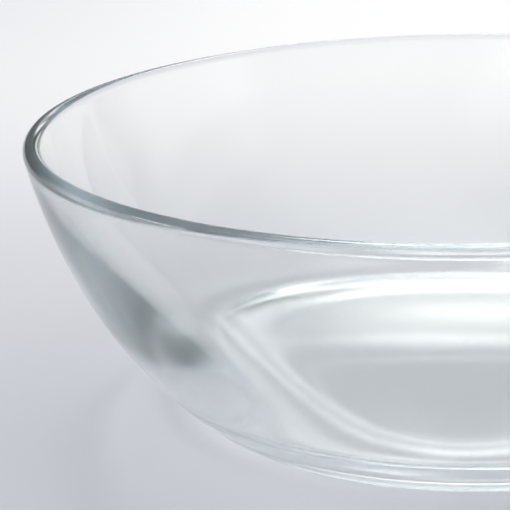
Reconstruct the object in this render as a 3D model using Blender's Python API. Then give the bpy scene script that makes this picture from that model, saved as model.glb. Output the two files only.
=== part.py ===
"""Flared, round glass dish for a laboratory bench.

The dish is one piece of thick, clear, pressed glass: a flat foot, a curved wall that opens
outwards, a fire-rounded rim and a heavy heel inside, where the wall runs into the floor.
It has no spout, lid or handle, so the whole form is one outline turned about +Z.
Metres, +Z up, with the origin at the middle of the foot.
"""

import math

import bmesh
import bpy
import numpy as np

# ---- Driving dimensions -----------------------------------------------------------------

OUTER_DIAMETER = 0.230              # over the rim, its widest place
HEIGHT = 0.0738                     # from the foot to the top of the rim
RIM_THICKNESS = 0.0047              # the rim is a full round of this thickness
RIM_SLOPE = math.radians(77.0)      # how steep the wall is where it meets the rim

FOOT_DIAMETER = 0.1422              # outer edge of the flat that the dish stands on
FOOT_WIDTH = 0.0130                 # width of that flat ring
HOLLOW_DEPTH = 0.0004               # the underside is hollow by this much inside the ring
HOLLOW_BLEND = 0.0080               # width over which the hollow comes in
CORNER_RADIUS = 0.0075              # outside corner between foot and wall
CORNER_SLOPE = math.radians(40.0)   # how steep the wall is where the corner ends

FLOOR_THICKNESS = 0.0043            # glass under the inside floor, from the foot's level
HEEL_RADIUS = 0.0435                # inside fillet between floor and wall
HEEL_SLOPE = math.radians(51.0)     # how steep the inside is where the fillet ends
HEEL_WIDTH = 0.0086                 # glass measured level at the top of the fillet

# How far each end of a wall curve runs straight on, as a part of its chord.
OUTSIDE_PULL_LOW = 0.42
OUTSIDE_PULL_HIGH = 0.22
INSIDE_PULL_LOW = 0.50
INSIDE_PULL_HIGH = 0.25

GLASS_TINT = (0.93, 0.96, 0.95, 1.0)
GLASS_ROUGHNESS = 0.02
GLASS_IOR = 1.5

TURN_STEPS = 96                     # faces round the dish
HOLLOW_STEPS = 3
CORNER_STEPS = 5
WALL_STEPS = 9
RIM_EDGE_STEPS = 1
RIM_TOP_STEPS = 4
HEEL_STEPS = 7
MERGE_DISTANCE = 0.000001


# ---- The outline, as points (radius, height) --------------------------------------------

def tangent(slope):
    """Direction along the outline, up and out, where it is this steep."""
    return np.array([math.cos(slope), math.sin(slope)])


def turn_in(slope):
    """Direction square to the outline, towards the axis and up."""
    return np.array([-math.sin(slope), math.cos(slope)])


def arc(centre, radius, first_angle, last_angle, steps):
    """Points of a round stretch; an angle is counted from straight down, outwards."""
    angles = np.linspace(first_angle, last_angle, steps + 1)
    return [centre + radius * np.array([math.sin(a), -math.cos(a)]) for a in angles]


def wall_curve(low, low_slope, low_pull, high, high_slope, high_pull, steps):
    """One smooth bend between two ends whose steepness is given."""
    chord = np.linalg.norm(high - low)
    low_handle = low + low_pull * chord * tangent(low_slope)
    high_handle = high - high_pull * chord * tangent(high_slope)
    points = []
    for t in np.linspace(0.0, 1.0, steps + 1):
        u = 1.0 - t
        points.append(u ** 3 * low + 3 * u * u * t * low_handle
                      + 3 * u * t * t * high_handle + t ** 3 * high)
    return points


def underside():
    """From the axis outwards: the shallow hollow, then the flat ring of the foot."""
    ring_inner = FOOT_DIAMETER / 2 - FOOT_WIDTH
    points = [np.array([0.0, HOLLOW_DEPTH])]
    for share in np.linspace(1.0, 0.0, HOLLOW_STEPS + 1):
        height = HOLLOW_DEPTH * (1.0 - math.cos(math.pi * share)) / 2
        points.append(np.array([ring_inner - share * HOLLOW_BLEND, height]))
    return points


def outside_wall():
    """From the foot's edge round the corner and up to the rim."""
    corner_centre = np.array([FOOT_DIAMETER / 2, CORNER_RADIUS])
    corner = arc(corner_centre, CORNER_RADIUS, 0.0, CORNER_SLOPE, CORNER_STEPS)
    wall = wall_curve(corner[-1], CORNER_SLOPE, OUTSIDE_PULL_LOW,
                      rim_centre() - RIM_THICKNESS / 2 * turn_in(RIM_SLOPE), RIM_SLOPE,
                      OUTSIDE_PULL_HIGH, WALL_STEPS)
    return corner + wall[1:]


def rim_centre():
    """Centre of the full round that closes the wall at the top."""
    return np.array([OUTER_DIAMETER / 2 - RIM_THICKNESS / 2, HEIGHT - RIM_THICKNESS / 2])


def rim():
    """The half round over the top, with points at its widest and highest places."""
    widest, highest, inner_end = math.pi / 2, math.pi, RIM_SLOPE + math.pi
    radius = RIM_THICKNESS / 2
    return (arc(rim_centre(), radius, RIM_SLOPE, widest, RIM_EDGE_STEPS)
            + arc(rim_centre(), radius, widest, highest, RIM_TOP_STEPS)[1:]
            + arc(rim_centre(), radius, highest, inner_end, RIM_TOP_STEPS)[1:])


def inside_wall(outside):
    """From the rim down the inside, round the heel and in to the floor at the axis."""
    heel_top = FLOOR_THICKNESS + HEEL_RADIUS * (1.0 - math.cos(HEEL_SLOPE))
    outside_radius = np.interp(heel_top, [p[1] for p in outside], [p[0] for p in outside])
    heel_end = np.array([outside_radius - HEEL_WIDTH, heel_top])
    heel_centre = heel_end + HEEL_RADIUS * turn_in(HEEL_SLOPE)
    heel = arc(heel_centre, HEEL_RADIUS, 0.0, HEEL_SLOPE, HEEL_STEPS)
    wall = wall_curve(heel[-1], HEEL_SLOPE, INSIDE_PULL_LOW,
                      rim_centre() + RIM_THICKNESS / 2 * turn_in(RIM_SLOPE), RIM_SLOPE,
                      INSIDE_PULL_HIGH, WALL_STEPS)
    upwards = [np.array([0.0, FLOOR_THICKNESS])] + heel + wall[1:]
    return upwards[::-1]


def outline():
    """The whole section, from the axis below, round the rim, to the axis above."""
    outside = outside_wall()
    return underside() + outside + rim()[1:] + inside_wall(outside)[1:]


# ---- The solid --------------------------------------------------------------------------

def glass_material():
    """Clear glass with a faint cool tint."""
    material = bpy.data.materials.new("clear_glass")
    material.use_nodes = True
    shader = material.node_tree.nodes["Principled BSDF"]
    shader.inputs["Base Color"].default_value = GLASS_TINT
    shader.inputs["Roughness"].default_value = GLASS_ROUGHNESS
    shader.inputs["Metallic"].default_value = 0.0
    shader.inputs["IOR"].default_value = GLASS_IOR
    shader.inputs["Transmission Weight"].default_value = 1.0
    return material


def turned_object(name, section, material):
    """Turn a section about +Z into one closed, smooth object."""
    form = bmesh.new()
    corners = [form.verts.new((point[0], 0.0, point[1])) for point in section]
    edges = [form.edges.new(pair) for pair in zip(corners, corners[1:])]
    bmesh.ops.spin(form, geom=corners + edges, cent=(0.0, 0.0, 0.0), axis=(0.0, 0.0, 1.0),
                   angle=2.0 * math.pi, steps=TURN_STEPS, use_merge=True)
    bmesh.ops.remove_doubles(form, verts=form.verts, dist=MERGE_DISTANCE)
    bmesh.ops.recalc_face_normals(form, faces=form.faces)
    mesh = bpy.data.meshes.new(name)
    form.to_mesh(mesh)
    form.free()
    mesh.shade_smooth()
    mesh.materials.append(material)
    turned = bpy.data.objects.new(name, mesh)
    bpy.context.scene.collection.objects.link(turned)
    return turned


def main():
    for old in list(bpy.data.objects):
        bpy.data.objects.remove(old)
    turned_object("dish", outline(), glass_material())


main()
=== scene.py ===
"""Looks of a flared, round laboratory dish of thick clear glass.

The dish is one piece of pressed and fire-polished glass. It is drawn here again as a fine,
smooth mesh, with the solid's outside, foot, rim and floor. Its heel is not the solid's: it
leaves the floor more gently and ends tighter. It is dressed in clear glass whose colour comes
from its thickness, and stands on a pale bench in soft daylight, with the window's light
painted into the bench's colour.
Metres, +Z up, with the origin at the middle of the foot.
"""

import logging
import math
from dataclasses import dataclass
from enum import Enum
from typing import Any

import bpy
from mathutils import Matrix, Vector

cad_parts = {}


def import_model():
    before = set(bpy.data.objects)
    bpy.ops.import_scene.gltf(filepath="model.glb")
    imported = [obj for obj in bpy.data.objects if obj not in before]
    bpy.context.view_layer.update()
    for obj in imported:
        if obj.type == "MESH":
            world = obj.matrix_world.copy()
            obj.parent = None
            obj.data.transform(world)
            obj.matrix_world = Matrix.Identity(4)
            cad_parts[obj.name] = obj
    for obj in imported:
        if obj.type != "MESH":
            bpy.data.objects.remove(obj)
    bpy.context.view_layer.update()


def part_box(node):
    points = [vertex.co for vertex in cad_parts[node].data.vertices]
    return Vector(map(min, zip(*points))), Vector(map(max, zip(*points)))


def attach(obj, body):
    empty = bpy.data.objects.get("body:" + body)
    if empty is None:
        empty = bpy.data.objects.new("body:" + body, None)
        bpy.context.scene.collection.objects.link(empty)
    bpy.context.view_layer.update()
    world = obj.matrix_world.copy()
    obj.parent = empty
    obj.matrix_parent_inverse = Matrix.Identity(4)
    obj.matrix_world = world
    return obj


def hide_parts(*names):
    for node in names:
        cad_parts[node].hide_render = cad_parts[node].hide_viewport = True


log = logging.getLogger("dish_scene")

FULL_TURN = 2.0 * math.pi
HALF_TURN_DEGREES = 180.0


# ---- Shader nodes written as expressions -------------------------------------------------

class Socket:
    """One output of a shader node, which Python's operators add Math nodes to."""

    def __init__(self, board: "NodeBoard", output: bpy.types.NodeSocket) -> None:
        """Wraps an output.

        Args:
            board: The board that the output's node is on.
            output: The node's output socket.
        """
        self.board = board
        self.output = output

    def maths(self, operation: str, *values: Any) -> "Socket":
        """Adds a Math node.

        Args:
            operation: Name of the operation.
            values: Its values or sockets, in order.

        Returns:
            The node's result.
        """
        return self.board.add("ShaderNodeMath", {"operation": operation},
                              dict(enumerate(values))).result("Value")

    def __add__(self, other: Any) -> "Socket":
        """Sum of the two."""
        return self.maths("ADD", self, other)

    __radd__ = __add__

    def __mul__(self, other: Any) -> "Socket":
        """Product of the two."""
        return self.maths("MULTIPLY", self, other)

    __rmul__ = __mul__

    def __sub__(self, other: Any) -> "Socket":
        """This less the other."""
        return self.maths("SUBTRACT", self, other)

    def __rsub__(self, other: Any) -> "Socket":
        """The other less this."""
        return self.maths("SUBTRACT", other, self)

    def size(self) -> "Socket":
        """This without its sign."""
        return self.maths("ABSOLUTE", self)

    def root(self) -> "Socket":
        """Square root of this."""
        return self.maths("SQRT", self)

    def wrapped(self, half: float) -> "Socket":
        """This brought between -half and half by whole turns."""
        return self.maths("WRAP", self, half, -half)

    def ramp(self, low: float, high: float) -> "Socket":
        """Rises smoothly from 0 to 1.

        Args:
            low: Value where the rise starts.
            high: Value where it ends.

        Returns:
            The risen value, held between 0 and 1.
        """
        return self.board.add("ShaderNodeMapRange", {"interpolation_type": "SMOOTHSTEP"},
                              {"Value": self, "From Min": low, "From Max": high,
                               "To Min": 0.0, "To Max": 1.0}).result("Result")


class Placed:
    """A node on a board, whose outputs are read by name."""

    def __init__(self, board: "NodeBoard", node: bpy.types.Node) -> None:
        """Wraps a node.

        Args:
            board: The board that the node is on.
            node: The node.
        """
        self.board = board
        self.node = node

    def result(self, name: str) -> Socket:
        """The output of that name."""
        return Socket(self.board, self.node.outputs[name])


class NodeBoard:
    """The node tree of a material or a world, filled by one method."""

    def __init__(self, owner: Any) -> None:
        """Empties the owner's tree.

        Args:
            owner: A material or a world.
        """
        owner.use_nodes = True
        self.tree = owner.node_tree
        self.tree.nodes.clear()

    def add(self, kind: str, settings: dict[str, Any], inputs: dict[Any, Any]) -> Placed:
        """Adds a node.

        Args:
            kind: The node's type.
            settings: Its properties, which are set first.
            inputs: Values or sockets, by input name or number.

        Returns:
            The node, ready to be read.
        """
        node = self.tree.nodes.new(kind)
        for name, value in settings.items():
            setattr(node, name, value)
        for name, value in inputs.items():
            if isinstance(value, Socket):
                self.tree.links.new(value.output, node.inputs[name])
            else:
                node.inputs[name].default_value = value
        return Placed(self, node)

    def blend_colours(self, share: Any, first: Any, second: Any) -> Socket:
        """Mixes two colours.

        Args:
            share: How much of the second colour shows, 0 to 1.
            first: First colour.
            second: Second colour.

        Returns:
            The mixed colour.
        """
        mix = self.add("ShaderNodeMix", {"data_type": "RGBA"}, {"Factor": share})
        for socket, value in zip([s for s in mix.node.inputs if s.type == "RGBA"],
                                 (first, second)):
            if isinstance(value, Socket):
                self.tree.links.new(value.output, socket)
            else:
                socket.default_value = value
        colours = [s for s in mix.node.outputs if s.type == "RGBA"]
        return Socket(self, colours[0])

    def axes(self, vector: Socket) -> tuple[Socket, Socket, Socket]:
        """The three parts of a vector."""
        parts = self.add("ShaderNodeSeparateXYZ", {}, {"Vector": vector})
        return parts.result("X"), parts.result("Y"), parts.result("Z")


# ---- Finishes ----------------------------------------------------------------------------

@dataclass(frozen=True)
class ClearGlass:
    """Clear pressed glass, fire-polished, with a faint cool tint where it is thick."""

    name: str = "clear_glass"
    refraction: float = 1.5
    polish: float = 0.05                # roughness where the fire polished it
    worn: float = 0.035                 # added on the ring that it stands on
    ring_height: float = 0.0006         # how far up the worn finish reaches
    wave_size: float = 0.022            # size of the slow waves that pressing leaves
    wave_depth: float = 0.00003
    wave_detail: float = 1.0
    wave_grain: float = 0.4
    smear_scale: float = 60.0           # how fine the smears in the polish are, per metre
    smear_detail: float = 3.0
    smear_grain: float = 0.6
    smear_level: float = 0.5            # polish between the smears, as a share of the whole
    rim_share: float = 0.80             # share of the height at which the rim's tint starts
    tint: tuple[float, float, float, float] = (0.990, 1.000, 0.988, 1.0)
    rim_tint: tuple[float, float, float, float] = (0.985, 0.992, 0.995, 1.0)
    depth_colour: tuple[float, float, float, float] = (0.48, 0.59, 0.64, 1.0)
    depth_density: float = 4.0          # how fast the colour deepens, per metre

    def make(self, top: float) -> bpy.types.Material:
        """Makes the glass.

        Args:
            top: Height of the rim, whose tint is a little cooler.

        Returns:
            The material.
        """
        glass = bpy.data.materials.new(self.name)
        board = NodeBoard(glass)
        place = board.add("ShaderNodeTexCoord", {}, {}).result("Object")
        _, _, height = board.axes(place)
        waves = board.add("ShaderNodeTexNoise", {"noise_dimensions": "3D"},
                          {"Vector": place, "Scale": 1.0 / self.wave_size,
                           "Detail": self.wave_detail,
                           "Roughness": self.wave_grain}).result("Fac")
        smears = board.add("ShaderNodeTexNoise", {"noise_dimensions": "3D"},
                           {"Vector": place, "Scale": self.smear_scale,
                            "Detail": self.smear_detail,
                            "Roughness": self.smear_grain}).result("Fac")
        near_rim = height.ramp(self.rim_share * top, top)
        colour = board.blend_colours(near_rim, self.tint, self.rim_tint)
        on_ring = 1.0 - height.ramp(0.0, self.ring_height)
        roughness = self.polish * (self.smear_level + smears) + on_ring * self.worn
        bump = board.add("ShaderNodeBump", {}, {"Height": waves, "Strength": 1.0,
                                                "Distance": self.wave_depth})
        shader = board.add("ShaderNodeBsdfPrincipled", {},
                           {"Base Color": colour, "Roughness": roughness,
                            "IOR": self.refraction, "Transmission Weight": 1.0,
                            "Normal": bump.result("Normal")})
        depth = board.add("ShaderNodeVolumeAbsorption", {},
                          {"Color": self.depth_colour, "Density": self.depth_density})
        board.add("ShaderNodeOutputMaterial", {}, {"Surface": shader.result("BSDF"),
                                                   "Volume": depth.result("Volume")})
        return glass


@dataclass(frozen=True)
class PaleBenchWithPaintedLight:
    """Matt pale bench top, with painted light in its colour: lighter towards the window behind it
    and towards the back right, darker near the front, as the window's light falls off.
    """

    name: str = "pale_bench_with_painted_light"
    # near is the pale bench colour with painted shade; far and bright are the same colour with
    # painted window light
    near: tuple[float, float, float, float] = (0.532, 0.549, 0.599, 1.0)
    far: tuple[float, float, float, float] = (0.857, 0.861, 0.892, 1.0)
    bright: tuple[float, float, float, float] = (0.955, 0.955, 0.96, 1.0)
    far_reach: tuple[float, float] = (-0.15, 0.42)      # over which near, with its painted shade, turns to far, with its painted window light, along +Y
    right_reach: tuple[float, float] = (-0.30, -0.08)   # over which bright, the painted light at the back right, comes in, along +X
    right_depth: tuple[float, float] = (0.1, 0.5)       # and along +Y
    roughness: float = 0.55
    shine: float = 0.2

    def make(self) -> bpy.types.Material:
        """Makes the paint, with the window's light and shade painted into its colour.

        Returns:
            The material.
        """
        paint = bpy.data.materials.new(self.name)
        board = NodeBoard(paint)
        place = board.add("ShaderNodeTexCoord", {}, {}).result("Object")
        across, away, _ = board.axes(place)
        # Painted light: the colour darkens towards the front and lightens towards the back and
        # the back right, as the window's light falls off.
        painted_falloff_share = away.ramp(*self.far_reach)
        colour = board.blend_colours(painted_falloff_share, self.near, self.far)
        painted_side_light_share = across.ramp(*self.right_reach) * away.ramp(*self.right_depth)
        colour = board.blend_colours(painted_side_light_share, colour, self.bright)
        shader = board.add("ShaderNodeBsdfPrincipled", {},
                           {"Base Color": colour, "Roughness": self.roughness,
                            "Specular IOR Level": self.shine})
        board.add("ShaderNodeOutputMaterial", {}, {"Surface": shader.result("BSDF")})
        return paint


# ---- The dish ----------------------------------------------------------------------------

@dataclass
class Dish:
    """The dish, turned from one outline about +Z."""

    diameter: float                     # over the rim, read from the frame
    height: float                       # foot to rim, read from the frame
    rim_thickness: float = 0.0047
    rim_slope: float = math.radians(77.0)
    foot_diameter: float = 0.1422
    foot_width: float = 0.0130
    hollow_depth: float = 0.0004
    hollow_blend: float = 0.0080
    corner_radius: float = 0.0075
    corner_slope: float = math.radians(40.0)
    floor_thickness: float = 0.0043
    heel_radius: float = 0.0240         # where the heel bends most, at its top
    heel_ease: float = 0.95             # share of the heel over which its bend comes in
    heel_slope: float = math.radians(51.0)
    heel_width: float = 0.0100          # glass measured level at the heel's top
    outside_pulls: tuple[float, float] = (0.42, 0.22)
    inside_pulls: tuple[float, float] = (0.50, 0.25)
    hollow_steps: int = 6
    corner_steps: int = 14
    wall_steps: int = 44
    rim_steps: tuple[int, int, int] = (2, 10, 9)        # to its widest, its highest, its inside
    heel_steps: int = 40
    floor_shares: tuple[float, float, float] = (0.0, 0.3, 0.7)  # points on the flat floor
    turn_steps: int = 320
    seed_size: float = 0.001            # the plane that is merged into the first point
    merge_distance: float = 0.0000005

    @staticmethod
    def along(slope: float) -> Vector:
        """Direction up the outline where it is this steep."""
        return Vector((math.cos(slope), math.sin(slope)))

    @staticmethod
    def inwards(slope: float) -> Vector:
        """Direction square to the outline, towards the axis and up."""
        return Vector((-math.sin(slope), math.cos(slope)))

    @staticmethod
    def arc(centre: Vector, radius: float, first: float, last: float,
            steps: int) -> list[Vector]:
        """Points of a round stretch.

        Args:
            centre: Its centre, as radius and height.
            radius: Its radius.
            first: First angle, counted from straight down, outwards.
            last: Last angle.
            steps: Number of steps.

        Returns:
            The points, both ends among them.
        """
        angles = [first + (last - first) * k / steps for k in range(steps + 1)]
        return [centre + radius * Vector((math.sin(a), -math.cos(a))) for a in angles]

    @classmethod
    def bend(cls, low: Vector, low_slope: float, high: Vector, high_slope: float,
             pulls: tuple[float, float], steps: int) -> list[Vector]:
        """One smooth bend of the wall between two ends whose steepness is given.

        Args:
            low: Lower end.
            low_slope: Steepness there.
            high: Upper end.
            high_slope: Steepness there.
            pulls: How far each end runs straight on, as a part of the chord.
            steps: Number of steps.

        Returns:
            The points, both ends among them.
        """
        chord = (high - low).length
        low_handle = low + pulls[0] * chord * cls.along(low_slope)
        high_handle = high - pulls[1] * chord * cls.along(high_slope)
        points = []
        for k in range(steps + 1):
            t = k / steps
            u = 1.0 - t
            points.append(u ** 3 * low + 3 * u * u * t * low_handle
                          + 3 * u * t * t * high_handle + t ** 3 * high)
        return points

    def rim_centre(self) -> Vector:
        """Centre of the full round that closes the wall at the top."""
        return Vector((self.diameter / 2 - self.rim_thickness / 2,
                       self.height - self.rim_thickness / 2))

    def underside(self) -> list[Vector]:
        """From the axis outwards: the shallow hollow, then the ring of the foot."""
        ring_inner = self.foot_diameter / 2 - self.foot_width
        points = [Vector((0.0, self.hollow_depth))]
        for k in range(self.hollow_steps + 1):
            share = 1.0 - k / self.hollow_steps
            height = self.hollow_depth * (1.0 - math.cos(math.pi * share)) / 2
            points.append(Vector((ring_inner - share * self.hollow_blend, height)))
        return points

    def outside(self) -> list[Vector]:
        """From the foot's edge round the corner and up to the rim."""
        corner_centre = Vector((self.foot_diameter / 2, self.corner_radius))
        corner = self.arc(corner_centre, self.corner_radius, 0.0, self.corner_slope,
                          self.corner_steps)
        top = self.rim_centre() - self.rim_thickness / 2 * self.inwards(self.rim_slope)
        wall = self.bend(corner[-1], self.corner_slope, top, self.rim_slope,
                         self.outside_pulls, self.wall_steps)
        return corner + wall[1:]

    def rim(self) -> list[Vector]:
        """The half round over the top."""
        radius = self.rim_thickness / 2
        turns = (self.rim_slope, math.pi / 2, math.pi, self.rim_slope + math.pi)
        points = self.arc(self.rim_centre(), radius, turns[0], turns[0], 1)[:1]
        for first, last, steps in zip(turns, turns[1:], self.rim_steps):
            points += self.arc(self.rim_centre(), radius, first, last, steps)[1:]
        return points

    def heel(self) -> list[Vector]:
        """The heel, which leaves the flat floor gently and bends more and more.

        Returns:
            The points, counted from its lower end.
        """
        length = self.heel_slope * self.heel_radius / (1.0 - self.heel_ease / 2)
        points = [Vector((0.0, 0.0))]
        for k in range(self.heel_steps):
            share = (k + 0.5) / self.heel_steps
            eased = min(share, self.heel_ease)
            bent = eased ** 2 / (2 * self.heel_ease) + share - eased
            slope = bent * length / self.heel_radius
            points.append(points[-1] + self.along(slope) * (length / self.heel_steps))
        return points

    def inside(self, outside: list[Vector]) -> list[Vector]:
        """From the rim down the inside, round the heel and in to the axis.

        Args:
            outside: The outline's outer wall, whose radius the heel is measured from.

        Returns:
            The points, from the rim to the axis.
        """
        heel = self.heel()
        heel_top = self.floor_thickness + heel[-1].y
        below = [p for p in outside if p.y <= heel_top][-1]
        above = [p for p in outside if p.y > heel_top][0]
        share = (heel_top - below.y) / (above.y - below.y)
        heel_end = Vector((below.x + share * (above.x - below.x) - self.heel_width, heel_top))
        heel = [heel_end - heel[-1] + point for point in heel]
        top = self.rim_centre() + self.rim_thickness / 2 * self.inwards(self.rim_slope)
        wall = self.bend(heel[-1], self.heel_slope, top, self.rim_slope, self.inside_pulls,
                         self.wall_steps)
        flat = [Vector((share * heel[0].x, self.floor_thickness))
                for share in self.floor_shares]
        return (flat + heel + wall[1:])[::-1]

    def outline(self) -> list[Vector]:
        """The whole section, from the axis below, round the rim, to the axis above."""
        outside = self.outside()
        return self.underside() + outside[1:] + self.rim()[1:] + self.inside(outside)[1:]

    def build(self) -> bpy.types.Object:
        """Draws the outline point by point and turns it about +Z.

        Returns:
            The dish, at the origin.
        """
        section = self.outline()
        bpy.ops.object.select_all(action="DESELECT")
        bpy.ops.mesh.primitive_plane_add(size=self.seed_size,
                                         location=(0.0, 0.0, section[0].y))
        dish = bpy.context.active_object
        dish.name = "glass_dish"
        bpy.ops.object.transform_apply(location=True, rotation=True, scale=True)
        bpy.ops.object.mode_set(mode="EDIT")
        bpy.ops.mesh.select_all(action="SELECT")
        bpy.ops.mesh.merge(type="CENTER")
        for here, there in zip(section, section[1:]):
            step = there - here
            bpy.ops.mesh.extrude_region_move(
                TRANSFORM_OT_translate={"value": (step.x, 0.0, step.y)})
        bpy.ops.mesh.select_all(action="SELECT")
        bpy.ops.mesh.spin(steps=self.turn_steps, angle=FULL_TURN, center=(0.0, 0.0, 0.0),
                          axis=(0.0, 0.0, 1.0))
        bpy.ops.mesh.select_all(action="SELECT")
        bpy.ops.mesh.remove_doubles(threshold=self.merge_distance)
        bpy.ops.mesh.normals_make_consistent(inside=False)
        bpy.ops.object.mode_set(mode="OBJECT")
        bpy.ops.object.shade_smooth()
        return dish

    def dress(self, dish: bpy.types.Object) -> None:
        """Gives the dish its glass.

        Args:
            dish: The turned dish.
        """
        dish.data.materials.clear()
        dish.data.materials.append(ClearGlass().make(self.height))


# ---- What it stands on, the light and the camera ------------------------------------------

@dataclass
class Bench:
    """Pale bench top under the dish."""

    size: float = 24.0
    drop: float = 0.0003                # how far below the foot it lies

    def build(self) -> bpy.types.Object:
        """Lays the bench top.

        Returns:
            The bench top.
        """
        bpy.ops.object.select_all(action="DESELECT")
        bpy.ops.mesh.primitive_plane_add(size=self.size, location=(0.0, 0.0, -self.drop))
        bench = bpy.context.active_object
        bench.name = "bench_top"
        bpy.ops.object.transform_apply(location=True, rotation=True, scale=True)
        bench.data.materials.append(PaleBenchWithPaintedLight().make())
        return bench


class GlowForm(Enum):
    """Outline of a glow."""

    SQUARE = "square"
    ROUND = "round"


@dataclass(frozen=True)
class Glow:
    """One soft-edged patch of light round the bench, such as a window."""

    name: str
    bearing: tuple[float, float]        # its two sides, degrees from +Y towards +X
    lift: tuple[float, float]           # its foot and top, degrees above the bench
    fade: tuple[float, float]           # degrees over which the sides, and foot and top, fade
    strength: float                     # 1 is as bright as white paper in plain light
    form: GlowForm = GlowForm.SQUARE

    def share(self, bearing: Socket, lift: Socket) -> Socket:
        """How much of the glow shows in one direction.

        Args:
            bearing: The direction's bearing, in degrees.
            lift: Its height above the bench, in degrees.

        Returns:
            0 outside the glow, 1 inside it.
        """
        aside = (bearing - sum(self.bearing) / 2).wrapped(HALF_TURN_DEGREES).size()
        above = (lift - sum(self.lift) / 2).size()
        half_width = (self.bearing[1] - self.bearing[0]) / 2
        half_height = (self.lift[1] - self.lift[0]) / 2
        side_fade = self.fade[0] / 2
        end_fade = self.fade[1] / 2
        if self.form is GlowForm.ROUND:
            out = aside * (1.0 / half_width)
            up = above * (1.0 / half_height)
            soft = end_fade / half_height
            return 1.0 - (out * out + up * up).root().ramp(1.0 - soft, 1.0 + soft)
        sides = 1.0 - aside.ramp(half_width - side_fade, half_width + side_fade)
        ends = 1.0 - above.ramp(half_height - end_fade, half_height + end_fade)
        return sides * ends


@dataclass(frozen=True)
class Daylight:
    """Dim daylight all round, brighter overhead, with the windows' glows in it."""

    level: float = 0.20
    overhead: float = 1.84              # added straight above
    overhead_lift: tuple[float, float] = (48.0, 78.0)
    colour: tuple[float, float, float, float] = (1.0, 1.0, 1.0, 1.0)

    def build(self, glows: tuple[Glow, ...]) -> bpy.types.World:
        """Sets the world's light.

        Args:
            glows: The glows in it.

        Returns:
            The world.
        """
        world = bpy.data.worlds.new("daylight")
        bpy.context.scene.world = world
        board = NodeBoard(world)
        direction = board.add("ShaderNodeTexCoord", {}, {}).result("Generated")
        across, away, up = board.axes(direction)
        bearing = across.maths("ARCTAN2", across, away) * math.degrees(1.0)
        lift = up.maths("ARCSINE", up) * math.degrees(1.0)
        light = self.level + lift.ramp(*self.overhead_lift) * self.overhead
        for glow in glows:
            light = light + glow.share(bearing, lift) * glow.strength
        sky = board.add("ShaderNodeBackground", {}, {"Color": self.colour, "Strength": light})
        board.add("ShaderNodeOutputWorld", {}, {"Surface": sky.result("Background")})
        return world


@dataclass(frozen=True)
class Viewpoint:
    """The photograph's camera, fitted to the rim, the wall and the foot."""

    place: tuple[float, float, float] = (0.0, -0.46257, 0.18348)
    yaw: float = math.radians(-6.943)
    pitch: float = math.radians(17.634)
    roll: float = math.radians(-2.124)
    focal_pixels: float = 1800.0
    frame_pixels: float = 510.0
    sensor: float = 36.0                # millimetres across the frame

    def build(self) -> bpy.types.Object:
        """Sets up the camera and makes it the scene's.

        Returns:
            The camera.
        """
        ahead = Vector((math.sin(self.yaw) * math.cos(self.pitch),
                        math.cos(self.yaw) * math.cos(self.pitch), -math.sin(self.pitch)))
        level = Vector((math.cos(self.yaw), -math.sin(self.yaw), 0.0))
        upright = level.cross(ahead)
        right = math.cos(self.roll) * level + math.sin(self.roll) * upright
        up = math.cos(self.roll) * upright - math.sin(self.roll) * level
        lens = bpy.data.cameras.new("viewpoint")
        lens.sensor_width = self.sensor
        lens.lens = self.focal_pixels * self.sensor / self.frame_pixels
        lens.clip_start = 0.01
        camera = bpy.data.objects.new("viewpoint", lens)
        bpy.context.scene.collection.objects.link(camera)
        turned = Matrix((right, up, -ahead)).transposed()
        camera.matrix_world = Matrix.LocRotScale(Vector(self.place), turned.to_quaternion(), None)
        bpy.context.scene.camera = camera
        return camera


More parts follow.
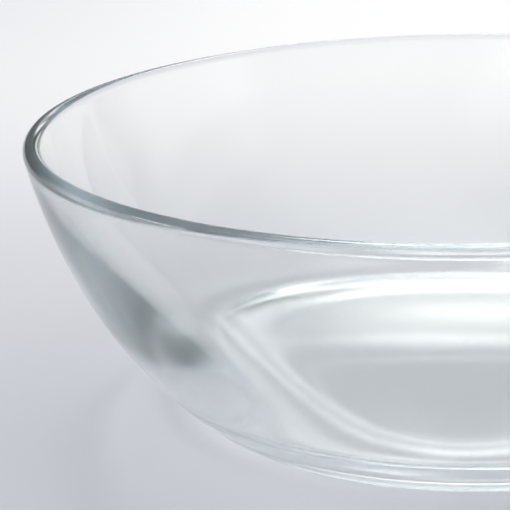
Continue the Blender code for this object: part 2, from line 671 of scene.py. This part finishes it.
GLOWS = (
    Glow("low_window_top", (-8.0, 8.0), (20.0, 23.4), (5.0, 2.0), 2.1, GlowForm.ROUND),
    Glow("low_window_foot", (-5.0, 10.0), (12.6, 17.0), (4.0, 2.0), 2.1, GlowForm.ROUND),
    Glow("low_window", (-8.0, 9.0), (14.0, 22.0), (5.0, 3.0), 1.0, GlowForm.ROUND),
    Glow("window_wall", (-14.0, 8.0), (13.0, 24.0), (6.0, 3.0), 0.2),
    Glow("high_window", (-9.0, -1.0), (44.0, 62.0), (5.0, 6.0), 1.8),
    Glow("left_high_window", (-26.0, -9.0), (53.0, 66.0), (8.0, 6.0), 10.5),
    Glow("middle_window", (-5.0, 17.0), (37.0, 49.0), (6.0, 6.0), 4.0),
    Glow("left_strip", (-161.0, -60.0), (-3.0, 23.0), (40.0, 12.0), 2.6),
    Glow("side_window", (-104.0, -84.0), (24.0, 32.0), (5.0, 3.0), 9.0, GlowForm.ROUND),
    Glow("right_wall", (100.0, 180.0), (14.0, 58.0), (30.0, 18.0), 0.45),
    Glow("far_bench", (-9.0, 8.0), (2.0, 8.0), (5.0, 3.0), 1.5),
    Glow("low_right", (9.0, 62.0), (2.0, 14.0), (10.0, 4.0), 0.25),
    Glow("right_strip", (62.0, 112.0), (3.0, 22.0), (16.0, 6.0), 0.7),
    Glow("wall_behind", (-180.0, -115.0), (20.0, 45.0), (16.0, 16.0), 0.6),
)

DEEP_LIGHT = 40                         # how often light may turn inside the thick glass


def let_light_run(turns: int) -> None:
    """Lets light be handed on inside the glass until it comes out again.

    The filter for glossy paths is turned off too: it takes the light that comes through the
    glass off the bench.

    Args:
        turns: How often one ray may be bent or reflected.
    """
    light = bpy.context.scene.cycles
    light.max_bounces = turns
    light.glossy_bounces = turns
    light.transmission_bounces = turns
    light.blur_glossy = 0.0


def main() -> None:
    """Builds the dish, the bench, the light and the camera, in that order."""
    logging.basicConfig(level=logging.INFO, format="%(message)s")
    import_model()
    low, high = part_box("dish")
    dish = Dish(diameter=high[0] - low[0], height=high[2] - low[2])
    piece = dish.build()
    dish.dress(piece)
    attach(piece, "root")
    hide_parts("dish")
    log.info("dish: %d points", len(piece.data.vertices))
    bench = Bench().build()
    log.info("bench: %s", bench.name)
    Daylight().build(GLOWS)
    log.info("daylight: %s", ", ".join(glow.name for glow in GLOWS))
    Viewpoint().build()
    let_light_run(DEEP_LIGHT)
    bpy.context.scene.view_settings.view_transform = "Standard"


if __name__ == "__main__":
    main()
